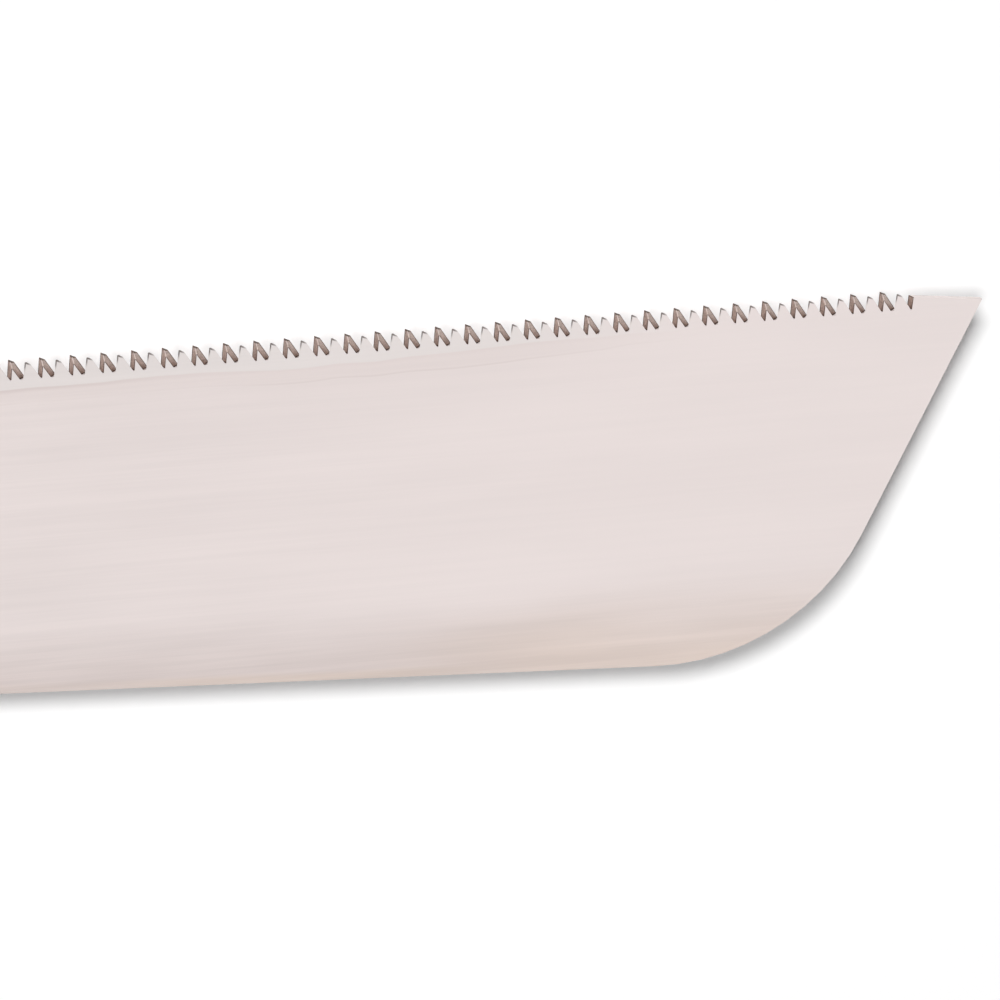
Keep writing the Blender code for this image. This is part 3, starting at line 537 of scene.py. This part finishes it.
def metalFinish(name):
    values = metals[name]
    material, tree, shader = finish(name, values["colour"], values["rough"], 1.0)
    lines = grain(tree, placed(tree, scale=values["lines"]), detail=3, rough=0.6)
    spots = placed(tree, scale=metalWear["scuffGrain"])
    scuffs = grain(tree, spots, detail=5, rough=0.62, distortion=0.6)
    worn = times(tree, ranged(tree, scuffs, *metalWear["scuffSpread"]), metalWear["scuffLevel"])
    fine = ranged(tree, lines, *metalWear["lineLevel"])
    colour = mixed(tree, maths(tree, "MAXIMUM", worn, fine), values["colour"], values["scuff"])
    tree.links.new(colour, shader.inputs["Base Color"])
    smooth, coarse = values["rough"] - metalWear["smoother"], values["rough"] + metalWear["rougher"]
    rough = ranged(tree, lines, *metalWear["lineRough"], smooth, coarse)
    rough = plus(tree, rough, times(tree, worn, metalWear["scuffRough"]))
    tree.links.new(rough, shader.inputs["Roughness"])
    bumped(tree, shader, lines, metalWear["bump"], metalWear["bumpStrength"])
    return material


# oiled beech: slanted growth rings, long fibres, short dark flecks, and darker wood by the seams and rivets
rivetPlaces = ("front", "middle", "rear")
beech = {
    "pale": (0.515, 0.300, 0.148), "ring": (0.360, 0.182, 0.078), "fleck": (0.225, 0.100, 0.040),
    "rough": 0.44, "smoother": 0.05, "rougher": 0.08, "fleckRough": 0.15, "fibreRough": (0.3, 0.7),
    "bump": 0.00006, "bumpStrength": 0.35, "fleckBump": 0.6, "coat": 0.12, "coatRough": 0.3,
    "heart": (0.0, 0.062, 0.041), "heartTurn": (0, 3.5, -5), "ringScale": 95.0,
    "ringWobble": 1.6, "ringDetail": 2.0, "ringDetailScale": 0.35, "ringLevel": (0.25, 1.0, 0.0, 0.75),
    "slowGrain": (9, 40, 40), "slowLevel": (0.25, 0.75, 0.45, 1.0),
    "fibreGrain": (22, 1900, 1900), "fibreLevel": (0.35, 0.75, 0.0, 0.38),
    "fleckGrain": (230, 2300, 2300), "fleckLevel": (0.63, 0.70, 0.0, 0.6),
    "seamReach": 0.0010, "seamDarkening": 0.6, "haloReach": 0.0015, "haloDarkening": 0.55,
    "darkeningPatches": (0.3, 0.65, 0.6, 1.0),
}


def darkerBySeamsAndRivets(tree, patches):  # darker wood along the seam with the liners and round the rivets
    spot = add(tree, "SeparateXYZ")
    tree.links.new(placed(tree), spot.inputs[0])
    flat = add(tree, "CombineXYZ")
    tree.links.new(spot.outputs["X"], flat.inputs["X"])
    tree.links.new(spot.outputs["Y"], flat.inputs["Y"])
    seat = min(abs(corner[2] - pivot.z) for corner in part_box("left_scale"))
    lift = maths(tree, "ABSOLUTE", minus(tree, spot.outputs["Z"], pivot.z))
    darkening = ranged(tree, lift, seat + beech["seamReach"], seat, 0.0, beech["seamDarkening"])
    for where in rivetPlaces:
        low, high = (Vector(corner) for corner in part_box("left_scale_rivet_" + where))
        away = add(tree, "VectorMath", operation="DISTANCE")
        tree.links.new(flat.outputs[0], away.inputs[0])
        away.inputs[1].default_value = (*((low + high) / 2).xy, 0)
        edge = (high.x - low.x) / 2
        halo = ranged(tree, away.outputs["Value"], edge + beech["haloReach"], edge, 0.0, beech["haloDarkening"])
        darkening = maths(tree, "MAXIMUM", darkening, halo)
    return times(tree, darkening, ranged(tree, patches, *beech["darkeningPatches"]))


def growthRings(tree):
    heart = add(tree, "Mapping")
    heart.inputs["Location"].default_value = beech["heart"]
    heart.inputs["Rotation"].default_value = [math.radians(turn) for turn in beech["heartTurn"]]
    tree.links.new(placed(tree), heart.inputs["Vector"])
    rings = add(tree, "TexWave", wave_type="RINGS", rings_direction="X", wave_profile="SAW")
    tree.links.new(heart.outputs[0], rings.inputs["Vector"])
    rings.inputs["Scale"].default_value = beech["ringScale"]
    rings.inputs["Distortion"].default_value = beech["ringWobble"]
    rings.inputs["Detail"].default_value = beech["ringDetail"]
    rings.inputs["Detail Scale"].default_value = beech["ringDetailScale"]
    return rings.outputs["Fac"]


def beechFinish():
    material, tree, shader = finish("oiledBeech", beech["pale"], beech["rough"], 0.0)
    slow = grain(tree, placed(tree, scale=beech["slowGrain"]), detail=2)
    fibres = grain(tree, placed(tree, scale=beech["fibreGrain"]), detail=4, rough=0.7)
    flecks = grain(tree, placed(tree, scale=beech["fleckGrain"]), detail=1)
    late = ranged(tree, growthRings(tree), *beech["ringLevel"])
    late = times(tree, late, ranged(tree, slow, *beech["slowLevel"]))
    dash = ranged(tree, flecks, *beech["fleckLevel"])
    colour = mixed(tree, late, beech["pale"], beech["ring"])
    colour = mixed(tree, ranged(tree, fibres, *beech["fibreLevel"]), colour, beech["ring"])
    colour = mixed(tree, dash, colour, beech["fleck"])
    colour = mixed(tree, darkerBySeamsAndRivets(tree, slow), colour, beech["fleck"])
    tree.links.new(colour, shader.inputs["Base Color"])
    smooth, coarse = beech["rough"] - beech["smoother"], beech["rough"] + beech["rougher"]
    rough = ranged(tree, fibres, *beech["fibreRough"], smooth, coarse)
    rough = plus(tree, rough, times(tree, dash, beech["fleckRough"]))
    tree.links.new(rough, shader.inputs["Roughness"])
    height = minus(tree, fibres, times(tree, dash, beech["fleckBump"]))
    bumped(tree, shader, height, beech["bump"], beech["bumpStrength"])
    shader.inputs["Coat Weight"].default_value = beech["coat"]
    shader.inputs["Coat Roughness"].default_value = beech["coatRough"]
    return material


# pieces of the handle: finish, slot, and how far their edges are eased
dressing = {
    "left_bolster": ("satinSteel", "handle_steel", 0.00025),
    "right_bolster": ("satinSteel", "handle_steel", 0.00025),
    "left_liner": ("linerSteel", "liner_steel", 0.00012),
    "right_liner": ("linerSteel", "liner_steel", 0.00012),
    "spine_spacer": ("linerSteel", "liner_steel", 0.00012),
    "lock_lever": ("satinSteel", "handle_steel", 0.0002),
    "pivot_bolt": ("turnedSteel", "handle_steel", 0.0002),
    "spring_washer": ("turnedSteel", "handle_steel", 0.00012),
    "lever_pin": ("turnedSteel", "handle_steel", 0),
    "stop_pin": ("turnedSteel", "handle_steel", 0),
    "lever_spring": ("blueSpring", "spring_steel", 0.00008),
    "pivot_nut": ("satinBrass", "brass", 0.0002),
    "lanyard_tube": ("satinBrass", "brass", 0.00025),
    "pivot_bush": ("oiledBronze", "bronze", 0),
    "left_thrust_washer": ("oiledBronze", "bronze", 0),
    "right_thrust_washer": ("oiledBronze", "bronze", 0),
    "left_scale": ("oiledBeech", "oiled_beech", 0.0004),
    "right_scale": ("oiledBeech", "oiled_beech", 0.0004),
}
for where in rivetPlaces:
    dressing["spine_rivet_" + where] = ("linerSteel", "liner_steel", 0)
    for side in ("left", "right"):
        dressing[side + "_scale_rivet_" + where] = ("satinBrass", "brass", 0.00015)
easing = {"segments": 2, "fromAngle": 38}
rivetHead = {"drop": 0.0005, "rings": 4, "ringStep": 0.2, "level": 1e-6}
thumbPad = {
    "floorFacing": -0.9, "floorDepth": (0.0003, 0.0009), "wallFacing": 0.8, "wallDepth": 0.0006,
}


def peenHead(mesh):  # a rivet's show face, hammered to a low dome that stays inside its flat head
    face = max(mesh.faces, key=lambda f: abs(f.calc_center_median().z - pivot.z) + f.calc_area())
    middle = face.calc_center_median()
    radius = max((v.co - middle).length for v in face.verts)
    for ring in range(rivetHead["rings"]):
        bmesh.ops.inset_individual(mesh, faces=[face], thickness=radius * rivetHead["ringStep"])
    drop = math.copysign(rivetHead["drop"], middle.z - pivot.z)
    for vert in mesh.verts:
        if abs(vert.co.z - middle.z) < rivetHead["level"]:
            vert.co.z -= drop * ((vert.co - middle).length / radius) ** 2


def paintGrooveShade(lever, dark):  # painted shade: the floors and walls between the ridges of the thumb pad are coloured near-black
    lever.data.materials.append(dark)
    lowest = min(v.co.y for v in lever.data.vertices)
    shallow, deep = thumbPad["floorDepth"]
    for face in lever.data.polygons:
        depth = face.center.y - lowest
        floor = face.normal.y < thumbPad["floorFacing"] and shallow < depth < deep
        wall = abs(face.normal.x) > thumbPad["wallFacing"] and depth < thumbPad["wallDepth"]
        if floor or wall:
            face.material_index = 1


def easeEdges(piece, width):
    bevel = piece.modifiers.new("easedEdges", "BEVEL")
    bevel.width = width
    bevel.segments = easing["segments"]
    bevel.limit_method = "ANGLE"
    bevel.angle_limit = math.radians(easing["fromAngle"])
    bevel.harden_normals = True


def dressHandle():
    finishes = {name: metalFinish(name) for name in metals}
    finishes["oiledBeech"] = beechFinish()
    for node, (look, slot, ease) in dressing.items():
        if not ease:
            nodes[node].data.materials.clear()
            nodes[node].data.materials.append(finishes[look])
            continue
        words = node.split("_")
        mesh = cleanMesh(node)
        if "scale_rivet" in node:
            peenHead(mesh)
        name = words[0] + "".join(word.title() for word in words[1:])
        piece = madeFrom(mesh, name, node, [finishes[look]])
        if node == "lock_lever":
            # painted shade in the grooves of the thumb pad
            paintGrooveShade(piece, finishes["padGrooveShade"])
        easeEdges(piece, ease)
    print("handle dressed:", len(dressing), "pieces")


dressHandle()
